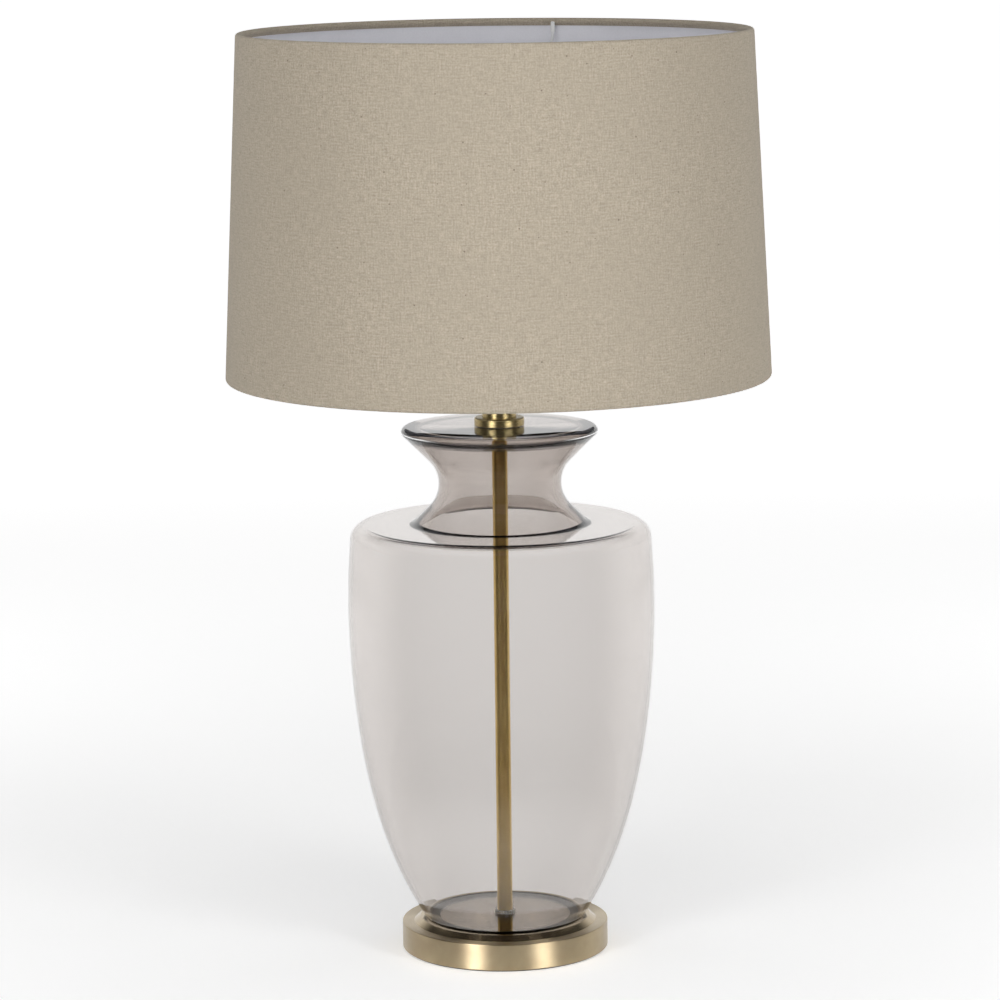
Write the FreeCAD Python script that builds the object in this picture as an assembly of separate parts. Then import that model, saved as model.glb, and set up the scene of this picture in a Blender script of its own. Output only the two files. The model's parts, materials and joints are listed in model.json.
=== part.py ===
import FreeCAD, Part
import math
import os

# A glass vase table lamp: a stepped brass foot, a blown glass vase round a slim brass stem,
# a bayonet lampholder and a large tapered drum shade on a wire frame.
# Millimetres, +Z up. The origin is on the table, on the lamp's axis, and the rear is at +Y.

# Shared fits
running_clearance = 0.1
loose_clearance = 0.3
thread_clearance = 0.05
seat_clearance = 0.05

# Glass vase, outside
glass_foot_radius = 59.5
glass_foot_chamfer = 1.2
belly_radius = 116.1
belly_height = 245.0
body_fullness = 0.715
shoulder_height = 306.0
shoulder_edge_radius = 113.9
shoulder_corner_radius = 11.5
throat_rise = 30.5
throat_radius = 46.3
throat_curve_radius = 25.0
neck_root_fillet = 7.0
neck_flare_deg = 45.0
lip_radius = 74.2
lip_height = 5.2
lip_foot_rounding = 3.6
lip_edge_rounding = 4.0
crown_corner_radius = 60.0
crown_rounding = 760.0
crown_drop = 0.3

# Glass vase, inside
glass_wall = 3.5
glass_floor_thickness = 5.5
glass_floor_fillet = 5.0
top_disc_thickness = 4.0
top_disc_sag = 1.2
inner_root_flare_deg = 35.0
inner_root_fillet = 1.0
under_disc_fillet = 2.5

# Brass foot
shell_wall = 1.2
shell_ground_gap = 1.0
base_height = 21.0
base_ring_width = 8.9
base_edge_rounding = 0.7
plinth_rise = 3.7
plinth_bevel_width = 5.2
plinth_rim_width = 3.9
recess_depth = 2.5
recess_side_gap = 1.1
felt_thickness = 2.0
felt_edge_gap = 0.9
ballast_edge_gap = 2.6
ballast_boss_inset = 3.0
nut_pocket_radius = 16.0
nut_pocket_depth = 9.0

# Cable inlet at the rear of the foot
cable_bore_radius = 3.5
grommet_wall = 1.5
grommet_flange_width = 2.0
grommet_flange_thickness = 2.0
cable_inlet_height = 11.0
cable_slot_clearance = 1.0

# Stem
rod_radius = 5.0
rod_bore_radius = 3.6
rod_play = 0.2
rod_end_spare = 1.0
stem_tube_wall = 0.6
bush_wall = 2.0
nut_across_flats = 17.0
nut_height = 5.0
thin_nut_across_flats = 14.0
thin_nut_height = 3.5
lock_washer_radius = 10.5
lock_washer_thickness = 1.6
lower_gasket_thickness = 0.8
lower_gasket_width = 8.0
lower_gasket_inset = 1.5
upper_gasket_thickness = 0.4
upper_gasket_inset = 1.5
collar_radius = 18.9
collar_height = 6.2
collar_rounding = 1.5
collar_foot_rounding = 0.4
collar_base_radius = 12.0
collar_base_height = 4.0
stem_seat_depth = 3.0
riser_radius = 12.9
riser_wall = 1.2
riser_height = 54.5
neck_washer_overhang = 0.7
neck_washer_thickness = 1.5

# Bayonet lampholder
entry_radius = 8.0
entry_height = 6.0
entry_floor_thickness = 1.8
cap_wall = 1.1
cap_dome_height = 5.0
cap_cylinder_height = 14.4
cap_overlap = 4.0
cap_rounding = 3.5
skirt_radius = 14.1
skirt_wall = 1.2
skirt_height = 41.0
bulb_bore_radius = 11.2
bulb_bore_length = 16.0
plunger_room_radius = 12.2
insulator_flange_height = 3.0
insulator_height = 18.0
bayonet_slot_width = 2.7
bayonet_slot_depth = 2.0
bayonet_slot_length = 9.5
bayonet_turn_deg = 25.0
bayonet_hook_rise = 1.2
plunger_offset = 5.6
plunger_radius = 1.9
plunger_flange_radius = 2.8
plunger_flange_height = 2.0
plunger_reach = 6.5
plunger_travel = 4.5
plunger_roof = 5.0
plunger_bore_radius = 3.0
spring_wall = 0.7
spring_radius = 2.7
spring_block_length = 4.5
terminal_radius = 2.5
terminal_length = 6.0
terminal_screw_radius = 1.5
terminal_screw_length = 2.0
grub_screw_radius = 1.5
grub_screw_head = 0.8
push_bar_height = 4.4
push_bar_width = 3.2
push_bar_level = 8.5
push_bar_travel = 6.0
push_bar_cap_radius = 3.0
push_bar_cap_length = 3.5
push_bar_reveal = 2.0

# Shade rings
ring_radius = 19.5
ring_height = 4.0
ring_level = 13.0
grip_count = 10
grip_radius = 1.6
grip_depth = 0.8

# Shade
shade_bottom_radius = 205.0
shade_taper = 12.8
shade_slant_height = 258.5
shade_bottom_level = 440.5
fabric_thickness = 0.6
liner_thickness = 0.5
frame_wire_radius = 1.3
hem_slack = 0.4
hem_depth = 5.6
gimbal_ring_radius = 21.0
gimbal_ring_thickness = 1.5
arm_wire_radius = 1.1
arm_foot_length = 6.0
arm_foot_bend = 6.0
arm_end_bend = 5.0
arm_end_drop = 3.0
arm_count = 3
first_arm_deg = 75.8
sleeve_radius = 1.6
sleeve_length = 8.0
sleeve_top_drop = 2.6
sleeve_gap = 0.3

# Levels and radii that follow from the sizes above
felt_top = felt_thickness
recess_floor = base_height + plinth_rise - recess_depth
rim_level = base_height + plinth_rise
recess_radius = glass_foot_radius + recess_side_gap
plinth_radius = recess_radius + plinth_rim_width
plinth_foot_radius = plinth_radius + plinth_bevel_width
base_radius = plinth_foot_radius + base_ring_width
shell_inner_radius = base_radius - shell_wall
rod_hole_radius = rod_radius + rod_play
stem_tube_radius = rod_hole_radius + stem_tube_wall
glass_hole_radius = stem_tube_radius + bush_wall + 2 * running_clearance
pocket_ceiling = felt_top + nut_pocket_depth
rod_bottom = pocket_ceiling - lock_washer_thickness - nut_height - rod_end_spare
glass_seat = recess_floor + lower_gasket_thickness
glass_floor = glass_seat + glass_floor_thickness
belly_level = glass_seat + belly_height
shoulder_level = glass_seat + shoulder_height
throat_level = shoulder_level + throat_rise
flare = math.tan(math.radians(neck_flare_deg))
root_flare = math.tan(math.radians(inner_root_flare_deg))
flare_secant = 1 / math.cos(math.radians(neck_flare_deg))
throat_vertex_radius = throat_radius - throat_curve_radius * (flare_secant - 1)
lip_foot_level = throat_level + (lip_radius - throat_vertex_radius) / flare
lip_top = lip_foot_level + lip_height
disc_underside = lip_top - top_disc_thickness
disc_centre_underside = disc_underside - top_disc_sag
collar_bottom = lip_top + upper_gasket_thickness
collar_top = collar_bottom + collar_height
riser_top = collar_top + riser_height
cap_bottom = riser_top + neck_washer_thickness
cap_dome_start = cap_bottom + entry_height
cap_dome_end = cap_dome_start + cap_dome_height
cap_top = cap_dome_end + cap_cylinder_height
skirt_bottom = cap_top - cap_overlap
skirt_top = skirt_bottom + skirt_height
cap_radius = skirt_radius + running_clearance + cap_wall
cap_ledge = skirt_bottom - insulator_flange_height
insulator_top = skirt_bottom + insulator_height
bulb_bore_bottom = skirt_top - bulb_bore_length
plunger_flange_top = insulator_top - plunger_roof
plunger_bottom = plunger_flange_top - plunger_flange_height
spring_length = plunger_travel + spring_block_length
spring_bottom = plunger_bottom - spring_length
push_bar_axis = skirt_bottom + push_bar_level
ring_bottom = skirt_bottom + ring_level
ring_bore_radius = skirt_radius + loose_clearance
gimbal_bottom = ring_bottom + ring_height + running_clearance
gimbal_top = gimbal_bottom + gimbal_ring_thickness
lock_ring_bottom = gimbal_top + running_clearance
shade_top_level = shade_bottom_level + shade_slant_height
roll_inner_radius = frame_wire_radius + hem_slack
roll_radius = roll_inner_radius + fabric_thickness


def point(radius, level):
    """A point of a turned outline, in the XZ plane."""
    return FreeCAD.Vector(radius, 0, level)


def line(start, end):
    return Part.LineSegment(start, end).toShape()


def rounded_path(corners):
    """Edges through (radius, level, rounding) corners, each inner corner with a tangent arc."""
    places = [point(r, z) for r, z, _ in corners]
    edges = []
    last = places[0]
    for i in range(1, len(places) - 1):
        rounding = corners[i][2]
        back = (places[i - 1] - places[i]).normalize()
        ahead = (places[i + 1] - places[i]).normalize()
        half_turn = back.getAngle(ahead) / 2
        if rounding <= 0:
            edges.append(line(last, places[i]))
            last = places[i]
            continue
        reach = rounding / math.tan(half_turn)
        first = places[i] + back * reach
        second = places[i] + ahead * reach
        middle = (back + ahead).normalize()
        crown = places[i] + middle * (rounding / math.sin(half_turn) - rounding)
        edges.append(line(last, first))
        edges.append(Part.Arc(first, crown, second).toShape())
        last = second
    edges.append(line(last, places[-1]))
    return edges


def turned(edges):
    """A solid turned about the lamp's axis from a closed outline."""
    outline = Part.Wire(Part.__sortEdges__(edges))
    face = Part.Face(outline)
    solid = face.revolve(FreeCAD.Vector(0, 0, 0), FreeCAD.Vector(0, 0, 1), 360)
    if solid.Volume < 0:
        solid.reverse()
    return solid


def turned_corners(corners):
    """A turned solid from a closed list of (radius, level, rounding) corners."""
    start = corners[0]
    return turned(rounded_path(corners + [(start[0], start[1], 0)]))


def ring(outer_radius, inner_radius, bottom, top):
    """A flat ring or a straight tube."""
    outer = Part.makeCylinder(outer_radius, top - bottom, FreeCAD.Vector(0, 0, bottom))
    return outer.cut(Part.makeCylinder(inner_radius, top - bottom, FreeCAD.Vector(0, 0, bottom)))


def hexagon(across_flats, bore_radius, bottom, height):
    """A hexagon nut."""
    corner = across_flats / math.sqrt(3)
    turns = [k * math.pi / 3 for k in range(7)]
    places = [FreeCAD.Vector(corner * math.cos(a), corner * math.sin(a), bottom) for a in turns]
    body = Part.Face(Part.makePolygon(places)).extrude(FreeCAD.Vector(0, 0, height))
    return body.cut(Part.makeCylinder(bore_radius, height, FreeCAD.Vector(0, 0, bottom)))


def body_drop(level):
    """How far the vase's outer wall lies inside its belly, below the belly."""
    share = (belly_level - level) / belly_height
    return (belly_radius - glass_foot_radius) * (body_fullness * share**2 + (1 - body_fullness) * share**5)


def body_slope(level):
    """The outer wall's change of radius with height, below the belly."""
    share = (belly_level - level) / belly_height
    rate = body_fullness * 2 * share + (1 - body_fullness) * 5 * share**4
    return (belly_radius - glass_foot_radius) * rate / belly_height


def body_point(level, inset):
    """A point on the outer wall at a level, moved inwards square to the wall."""
    slope = body_slope(level)
    length = math.hypot(1, slope)
    return point(belly_radius - body_drop(level) - inset / length, level + inset * slope / length)


def body_curve(bottom, inset):
    """The wall from near the foot up to the belly, as one smooth curve."""
    steps = 10
    levels = [bottom + (belly_level - bottom) * k / steps for k in range(steps + 1)]
    curve = Part.BSplineCurve()
    start_slope = FreeCAD.Vector(body_slope(bottom), 0, 1)
    curve.interpolate(Points=[body_point(level, inset) for level in levels],
                      InitialTangent=start_slope, FinalTangent=FreeCAD.Vector(0, 0, 1))
    return curve.toShape()


def shoulder_edges(inset):
    """The upper wall and the shoulder's round corner, as two tangent arcs, and where they end."""
    corner_r = shoulder_edge_radius - shoulder_corner_radius
    corner_z = shoulder_level - shoulder_corner_radius
    across = belly_radius - corner_r
    rise = corner_z - belly_level
    wall_radius = (across**2 + rise**2 - shoulder_corner_radius**2) / (2 * (across - shoulder_corner_radius))
    wall_r = belly_radius - wall_radius
    tilt = math.atan2(rise, corner_r - wall_r)

    def on_circle(centre_r, centre_z, radius, angle):
        return point(centre_r + radius * math.cos(angle), centre_z + radius * math.sin(angle))

    large = wall_radius - inset
    small = shoulder_corner_radius - inset
    wall = [on_circle(wall_r, belly_level, large, tilt * k / 2) for k in range(3)]
    turn = [on_circle(corner_r, corner_z, small, tilt + (math.pi / 2 - tilt) * k / 2) for k in range(3)]
    edges = [Part.Arc(*wall).toShape(), Part.Arc(*turn).toShape()]
    return edges, (corner_r, shoulder_level - inset, 0)


def make_glass_body():
    foot_top = glass_seat + glass_foot_chamfer
    outer_start = body_point(foot_top, 0)
    foot = rounded_path([
        (glass_hole_radius, glass_seat, 0),
        (glass_foot_radius - glass_foot_chamfer, glass_seat, 0),
        (outer_start.x, outer_start.z, 0),
    ])
    outer_shoulder, outer_end = shoulder_edges(0)
    root_radius = throat_vertex_radius + throat_rise * flare
    outer_top = rounded_path([
        outer_end,
        (root_radius, shoulder_level, neck_root_fillet),
        (throat_vertex_radius, throat_level, throat_curve_radius),
        (lip_radius, lip_foot_level, lip_foot_rounding),
        (lip_radius, lip_top - crown_drop, lip_edge_rounding),
        (crown_corner_radius, lip_top, crown_rounding),
        (glass_hole_radius, lip_top, 0),
    ])
    inner_curve_radius = throat_curve_radius + glass_wall
    inner_vertex = throat_radius - glass_wall - inner_curve_radius * (flare_secant - 1)
    root_secant = 1 / math.cos(math.radians(inner_root_flare_deg))
    lower_vertex = throat_radius - glass_wall - inner_curve_radius * (root_secant - 1)
    inner_shoulder, inner_end = shoulder_edges(glass_wall)
    inner_shoulder_level = inner_end[1]
    upper_corner = inner_vertex + (disc_underside - throat_level) * flare
    lower_corner = lower_vertex + (throat_level - inner_shoulder_level) * root_flare
    throat = point(throat_radius - glass_wall, throat_level)
    upper_throat = rounded_path([
        (glass_hole_radius, disc_centre_underside, 0),
        (upper_corner, disc_underside, under_disc_fillet),
        throat_tangent(inner_curve_radius, neck_flare_deg, 1),
    ])
    lower_throat = rounded_path([
        throat_tangent(inner_curve_radius, inner_root_flare_deg, -1),
        (lower_corner, inner_shoulder_level, inner_root_fillet),
        inner_end,
    ])
    throat_arcs = []
    for degrees, side in ((neck_flare_deg, 1), (inner_root_flare_deg, -1)):
        end = throat_tangent(inner_curve_radius, degrees, side)
        middle = throat_tangent(inner_curve_radius, degrees / 2, side)
        throat_arcs.append(Part.Arc(throat, point(*middle[:2]), point(*end[:2])).toShape())
    inner_bottom = glass_floor + glass_floor_fillet
    inner_start = body_point(inner_bottom, glass_wall)
    slope = body_slope(inner_bottom)
    floor = rounded_path([
        (inner_start.x, inner_start.z, 0),
        (inner_start.x - slope * (inner_start.z - glass_floor), glass_floor, glass_floor_fillet),
        (glass_hole_radius, glass_floor, 0),
    ])
    edges = foot + [body_curve(foot_top, 0)] + outer_shoulder + outer_top
    edges += [line(point(glass_hole_radius, lip_top), point(glass_hole_radius, disc_centre_underside))]
    edges += upper_throat + throat_arcs + lower_throat + inner_shoulder
    edges += [body_curve(inner_bottom, glass_wall)] + floor
    edges += [line(point(glass_hole_radius, glass_floor), point(glass_hole_radius, glass_seat))]
    return turned(edges)


def throat_tangent(curve_radius, degrees, side):
    """The (radius, level, 0) place on the inner throat's arc, that far above or below the throat."""
    angle = math.radians(degrees)
    centre_radius = throat_radius + throat_curve_radius
    level = throat_level + side * curve_radius * math.sin(angle)
    return centre_radius - curve_radius * math.cos(angle), level, 0


def make_base_shell():
    shell = turned_corners([
        (shell_inner_radius, shell_ground_gap, 0),
        (base_radius, shell_ground_gap, base_edge_rounding),
        (base_radius, base_height, base_edge_rounding),
        (plinth_foot_radius, base_height, 0),
        (plinth_radius, rim_level, base_edge_rounding),
        (recess_radius, rim_level, base_edge_rounding / 2),
        (recess_radius, recess_floor, 0),
        (rod_hole_radius, recess_floor, 0),
        (rod_hole_radius, recess_floor - shell_wall, 0),
        (plinth_radius - shell_wall, recess_floor - shell_wall, 0),
        (plinth_foot_radius - shell_wall, base_height - shell_wall, 0),
        (shell_inner_radius, base_height - shell_wall, 0),
    ])
    hole = Part.makeCylinder(cable_bore_radius + grommet_wall + running_clearance, base_radius,
                             FreeCAD.Vector(0, 0, cable_inlet_height), FreeCAD.Vector(0, 1, 0))
    return shell.cut(hole)


def make_base_ballast():
    boss_radius = plinth_radius - ballast_boss_inset
    ballast = turned_corners([
        (rod_hole_radius, pocket_ceiling, 0),
        (nut_pocket_radius, pocket_ceiling, 0),
        (nut_pocket_radius, felt_top, 0),
        (shell_inner_radius - ballast_edge_gap, felt_top, 0),
        (shell_inner_radius - ballast_edge_gap, base_height - shell_wall, 0),
        (boss_radius, base_height - shell_wall, 0),
        (boss_radius, recess_floor - shell_wall, 0),
        (rod_hole_radius, recess_floor - shell_wall, 0),
    ])
    reach = cable_bore_radius + cable_slot_clearance
    slot = Part.makeBox(2 * reach, base_radius, cable_inlet_height + reach - felt_top,
                        FreeCAD.Vector(-reach, 0, felt_top))
    centre = Part.makeCylinder(nut_pocket_radius - running_clearance, base_height,
                               FreeCAD.Vector(0, 0, 0))
    return ballast.cut(slot.cut(centre))


def make_felt_pad():
    return Part.makeCylinder(shell_inner_radius - felt_edge_gap, felt_thickness)


def make_base_washer():
    return ring(lock_washer_radius, rod_hole_radius, pocket_ceiling - lock_washer_thickness, pocket_ceiling)


def make_base_nut():
    bottom = pocket_ceiling - lock_washer_thickness - nut_height
    return hexagon(nut_across_flats, rod_radius + thread_clearance, bottom, nut_height)


def make_cable_grommet():
    neck = cable_bore_radius + grommet_wall
    flange = neck + grommet_flange_width
    outer_face = base_radius + seat_clearance
    inner_face = math.sqrt(shell_inner_radius**2 - flange**2) - seat_clearance
    pieces = [
        (neck, inner_face, outer_face),
        (flange, outer_face, outer_face + grommet_flange_thickness),
        (flange, inner_face - grommet_flange_thickness, inner_face),
    ]
    rear = FreeCAD.Vector(0, 1, 0)
    solids = [Part.makeCylinder(radius, end - start, FreeCAD.Vector(0, start, cable_inlet_height), rear)
              for radius, start, end in pieces]
    body = solids[0].fuse(solids[1:]).removeSplitter()
    bore = Part.makeCylinder(cable_bore_radius, base_radius + grommet_flange_thickness + 1,
                             FreeCAD.Vector(0, 0, cable_inlet_height), rear)
    return body.cut(bore)


def make_threaded_rod():
    return ring(rod_radius, rod_bore_radius, rod_bottom, cap_dome_start + entry_floor_thickness)


def make_stem_tube():
    return ring(stem_tube_radius, rod_hole_radius, recess_floor, collar_bottom + stem_seat_depth)


def make_lower_gasket():
    outer = glass_foot_radius - lower_gasket_inset
    return ring(outer, outer - lower_gasket_width, recess_floor, glass_seat)


def make_bush(bottom, top):
    """A sleeve that centres the stem in one of the vase's two holes."""
    return ring(glass_hole_radius - running_clearance, stem_tube_radius + running_clearance, bottom, top)


def make_upper_gasket():
    outer = collar_radius - upper_gasket_inset
    return ring(outer, stem_tube_radius + running_clearance, lip_top, collar_bottom)


def make_collar_base():
    """The seat inside the collar that centres the top end of the stem tube."""
    seat_radius = stem_tube_radius + running_clearance
    seat_top = collar_bottom + stem_seat_depth
    base_top = collar_bottom + collar_base_height
    return turned_corners([
        (seat_radius, collar_bottom, 0),
        (collar_base_radius, collar_bottom, 0),
        (collar_base_radius, base_top, 0),
        (rod_hole_radius, base_top, 0),
        (rod_hole_radius, seat_top, 0),
        (seat_radius, seat_top, 0),
    ])


def make_collar_cap():
    socket_radius = collar_base_radius + running_clearance
    socket_top = collar_bottom + collar_base_height + running_clearance
    return turned_corners([
        (socket_radius, collar_bottom, 0),
        (collar_radius, collar_bottom, collar_foot_rounding),
        (collar_radius, collar_top, collar_rounding),
        (rod_hole_radius, collar_top, 0),
        (rod_hole_radius, socket_top, 0),
        (socket_radius, socket_top, 0),
    ])


def make_stem_nut():
    return hexagon(thin_nut_across_flats, rod_radius + thread_clearance, collar_top, thin_nut_height)


def make_riser_tube():
    return ring(riser_radius, riser_radius - riser_wall, collar_top, riser_top)


def make_neck_washer():
    return ring(riser_radius + neck_washer_overhang, rod_hole_radius, riser_top, cap_bottom)


def grub_screw_level():
    return cap_bottom + entry_height / 2


def make_lampholder_cap():
    thread_radius = rod_radius + thread_clearance
    cavity_radius = skirt_radius - cap_wall
    seat_radius = skirt_radius + running_clearance
    cap = turned_corners([
        (thread_radius, cap_bottom, 0),
        (entry_radius, cap_bottom, 0),
        (entry_radius, cap_dome_start, 0),
        (cap_radius, cap_dome_end, cap_rounding),
        (cap_radius, cap_top, 0),
        (seat_radius, cap_top, 0),
        (seat_radius, cap_ledge, 0),
        (cavity_radius, cap_ledge, 0),
        (cavity_radius, cap_dome_end + cap_wall, 0),
        (entry_radius, cap_dome_start + entry_floor_thickness, 0),
        (thread_radius, cap_dome_start + entry_floor_thickness, 0),
    ])
    hole = Part.makeCylinder(grub_screw_radius + thread_clearance, entry_radius,
                             FreeCAD.Vector(0, rod_radius, grub_screw_level()), FreeCAD.Vector(0, 1, 0))
    return cap.cut(hole)


def make_entry_grub_screw():
    start = rod_radius + running_clearance
    return Part.makeCylinder(grub_screw_radius, entry_radius + grub_screw_head - start,
                             FreeCAD.Vector(0, start, grub_screw_level()), FreeCAD.Vector(0, 1, 0))


def push_bar_slot(clearance, length):
    """The straight part of the push bar, or the slot that it slides in, along X."""
    width = push_bar_width + 2 * clearance
    height = push_bar_height + 2 * clearance
    return Part.makeBox(length, width, height,
                        FreeCAD.Vector(-length / 2, -width / 2, push_bar_axis - height / 2))


def make_lampholder_insulator():
    core_radius = skirt_radius - skirt_wall - running_clearance
    insulator = turned_corners([
        (0, cap_ledge, 0),
        (skirt_radius, cap_ledge, 0),
        (skirt_radius, skirt_bottom, 0),
        (core_radius, skirt_bottom, 0),
        (core_radius, insulator_top, 0),
        (0, insulator_top, 0),
    ])
    insulator = insulator.cut(push_bar_slot(loose_clearance / 2, 4 * skirt_radius))
    for side in (-1, 1):
        place = FreeCAD.Vector(0, side * plunger_offset, spring_bottom)
        chamber_top = plunger_flange_top + seat_clearance
        chamber = Part.makeCylinder(plunger_bore_radius, chamber_top - spring_bottom, place)
        guide = Part.makeCylinder(plunger_radius + running_clearance, insulator_top - spring_bottom, place)
        insulator = insulator.cut(chamber.fuse(guide))
    return insulator


def make_lampholder_skirt():
    inner_radius = skirt_radius - skirt_wall
    skirt = turned_corners([
        (inner_radius, skirt_bottom, 0),
        (skirt_radius, skirt_bottom, 0),
        (skirt_radius, skirt_top, 0),
        (bulb_bore_radius, skirt_top, 0),
        (bulb_bore_radius, bulb_bore_bottom, 0),
        (plunger_room_radius, bulb_bore_bottom, 0),
        (plunger_room_radius, insulator_top, 0),
        (inner_radius, insulator_top, 0),
    ])
    skirt = skirt.cut(push_bar_slot(loose_clearance / 2, 4 * skirt_radius))
    return skirt.cut(bayonet_slots())


def bayonet_slots():
    """Two J-shaped slots in the bore, which the bulb's pins enter from above and lock in by a turn."""
    inner = bulb_bore_radius - bayonet_slot_depth
    outer = bulb_bore_radius + bayonet_slot_depth
    leg_bottom = skirt_top - bayonet_slot_length
    half_deg = math.degrees(math.asin(bayonet_slot_width / 2 / bulb_bore_radius))

    def sector(start_deg, sweep_deg, bottom, top):
        axis = FreeCAD.Vector(0, 0, 1)
        place = FreeCAD.Vector(0, 0, bottom)
        wedge = Part.makeCylinder(outer, top - bottom, place, axis, sweep_deg)
        wedge = wedge.cut(Part.makeCylinder(inner, top - bottom, place, axis))
        wedge.rotate(FreeCAD.Vector(0, 0, 0), axis, start_deg)
        return wedge

    slots = []
    for side_deg in (0, 180):
        entry = sector(side_deg - half_deg, 2 * half_deg, leg_bottom, skirt_top)
        turn = sector(side_deg - half_deg, 2 * half_deg + bayonet_turn_deg, leg_bottom,
                      leg_bottom + bayonet_slot_width)
        hook = sector(side_deg - half_deg + bayonet_turn_deg, 2 * half_deg, leg_bottom,
                      leg_bottom + bayonet_slot_width + bayonet_hook_rise)
        slots += [entry, turn, hook]
    return slots[0].fuse(slots[1:])


def make_plunger(side):
    place = FreeCAD.Vector(0, side * plunger_offset, plunger_bottom)
    stem_length = insulator_top + plunger_reach - plunger_bottom
    stem = Part.makeCylinder(plunger_radius, stem_length, place)
    flange = Part.makeCylinder(plunger_flange_radius, plunger_flange_height, place)
    return stem.fuse(flange).removeSplitter()


def make_plunger_spring(side):
    place = FreeCAD.Vector(0, side * plunger_offset, spring_bottom)
    outer = Part.makeCylinder(spring_radius, spring_length, place)
    return outer.cut(Part.makeCylinder(spring_radius - spring_wall, spring_length, place))


def make_terminal_posts():
    return Part.makeCompound([
        Part.makeCylinder(terminal_radius, terminal_length,
                          FreeCAD.Vector(0, side * plunger_offset, cap_ledge - terminal_length))
        for side in (-1, 1)
    ])


def make_terminal_screws():
    bottom = cap_ledge - terminal_length - terminal_screw_length
    return Part.makeCompound([
        Part.makeCylinder(terminal_screw_radius, terminal_screw_length,
                          FreeCAD.Vector(0, side * plunger_offset, bottom))
        for side in (-1, 1)
    ])


def make_push_bar():
    near_end = skirt_radius + push_bar_reveal
    far_end = near_end + push_bar_travel
    bar = push_bar_slot(0, near_end + far_end)
    bar.translate(FreeCAD.Vector((far_end - near_end) / 2, 0, 0))
    along = FreeCAD.Vector(1, 0, 0)
    caps = []
    for start in (-near_end - push_bar_cap_length, far_end):
        cap = Part.makeCylinder(push_bar_cap_radius, push_bar_cap_length,
                                FreeCAD.Vector(start, 0, push_bar_axis), along)
        outer_x = start if start < 0 else start + push_bar_cap_length
        rims = [e for e in cap.Edges if abs(e.CenterOfMass.x - outer_x) < 0.01 and e.Closed]
        caps.append(cap.makeFillet(push_bar_cap_radius / 3, rims))
    return bar.fuse(caps).removeSplitter()


def make_shade_ring(bottom):
    """A ring nut on the lampholder's skirt, with finger grips round its edge."""
    nut = ring(ring_radius, ring_bore_radius, bottom, bottom + ring_height)
    grips = []
    for k in range(grip_count):
        angle = 2 * math.pi * k / grip_count
        reach = ring_radius + grip_radius - grip_depth
        place = FreeCAD.Vector(reach * math.cos(angle), reach * math.sin(angle), bottom)
        grips.append(Part.makeCylinder(grip_radius, ring_height, place))
    return nut.cut(Part.makeCompound(grips))


def make_gimbal_ring():
    return ring(gimbal_ring_radius, ring_bore_radius + running_clearance, gimbal_bottom, gimbal_top)


def shade_radius(level):
    """The radius of the shade's outer face."""
    share = (level - shade_bottom_level) / shade_slant_height
    return shade_bottom_radius - shade_taper * share


def roll_centre(side):
    """The middle of the frame wire inside the bottom (-1) or top (1) hem, as (radius, level)."""
    if side > 0:
        level = shade_top_level - roll_radius
    else:
        level = shade_bottom_level + roll_radius
    return shade_radius(level) - roll_radius, level


def sleeve_axis_radius():
    return roll_centre(1)[0] - roll_radius - sleeve_gap - sleeve_radius


def arm_directions():
    return [first_arm_deg + 360 * k / arm_count for k in range(arm_count)]


def make_gimbal_arm(direction_deg):
    """One wire from the gimbal ring up to the top of the shade."""
    level = (gimbal_bottom + gimbal_top) / 2
    end_radius = sleeve_axis_radius()
    end_level = shade_top_level - sleeve_top_drop - sleeve_length
    path = Part.Wire(rounded_path([
        (gimbal_ring_radius, level, 0),
        (gimbal_ring_radius + arm_foot_length, level, arm_foot_bend),
        (end_radius, end_level - arm_end_drop, arm_end_bend),
        (end_radius, end_level, 0),
    ]))
    start = point(gimbal_ring_radius, level)
    section = Part.Wire([Part.Circle(start, FreeCAD.Vector(1, 0, 0), arm_wire_radius).toShape()])
    arm = path.makePipeShell([section], True, False)
    arm.rotate(FreeCAD.Vector(0, 0, 0), FreeCAD.Vector(0, 0, 1), direction_deg)
    return arm


def make_arm_sleeves():
    """The thick coated ends of the arms, which hold them to the shade's top wire."""
    bottom = shade_top_level - sleeve_top_drop - sleeve_length
    sleeves = []
    for direction_deg in arm_directions():
        sleeve = Part.makeCylinder(sleeve_radius, sleeve_length, point(sleeve_axis_radius(), bottom))
        rims = [e for e in sleeve.Edges if e.Closed and abs(e.CenterOfMass.z - bottom) > sleeve_length / 2]
        sleeve = sleeve.makeFillet(sleeve_radius * 0.8, rims)
        sleeve.rotate(FreeCAD.Vector(0, 0, 0), FreeCAD.Vector(0, 0, 1), direction_deg)
        sleeves.append(sleeve)
    return Part.makeCompound(sleeves)


def make_wire_ring(side):
    radius, level = roll_centre(side)
    return Part.makeTorus(radius, frame_wire_radius, FreeCAD.Vector(0, 0, level))


def liner_levels():
    bottom = roll_centre(-1)[1] + frame_wire_radius + loose_clearance
    top = roll_centre(1)[1] - frame_wire_radius - loose_clearance
    return bottom, top


def make_shade_liner():
    bottom, top = liner_levels()
    outer_inset = fabric_thickness + running_clearance
    inner_inset = outer_inset + liner_thickness
    return turned_corners([
        (shade_radius(bottom) - inner_inset, bottom, 0),
        (shade_radius(bottom) - outer_inset, bottom, 0),
        (shade_radius(top) - outer_inset, top, 0),
        (shade_radius(top) - inner_inset, top, 0),
    ])


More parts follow.
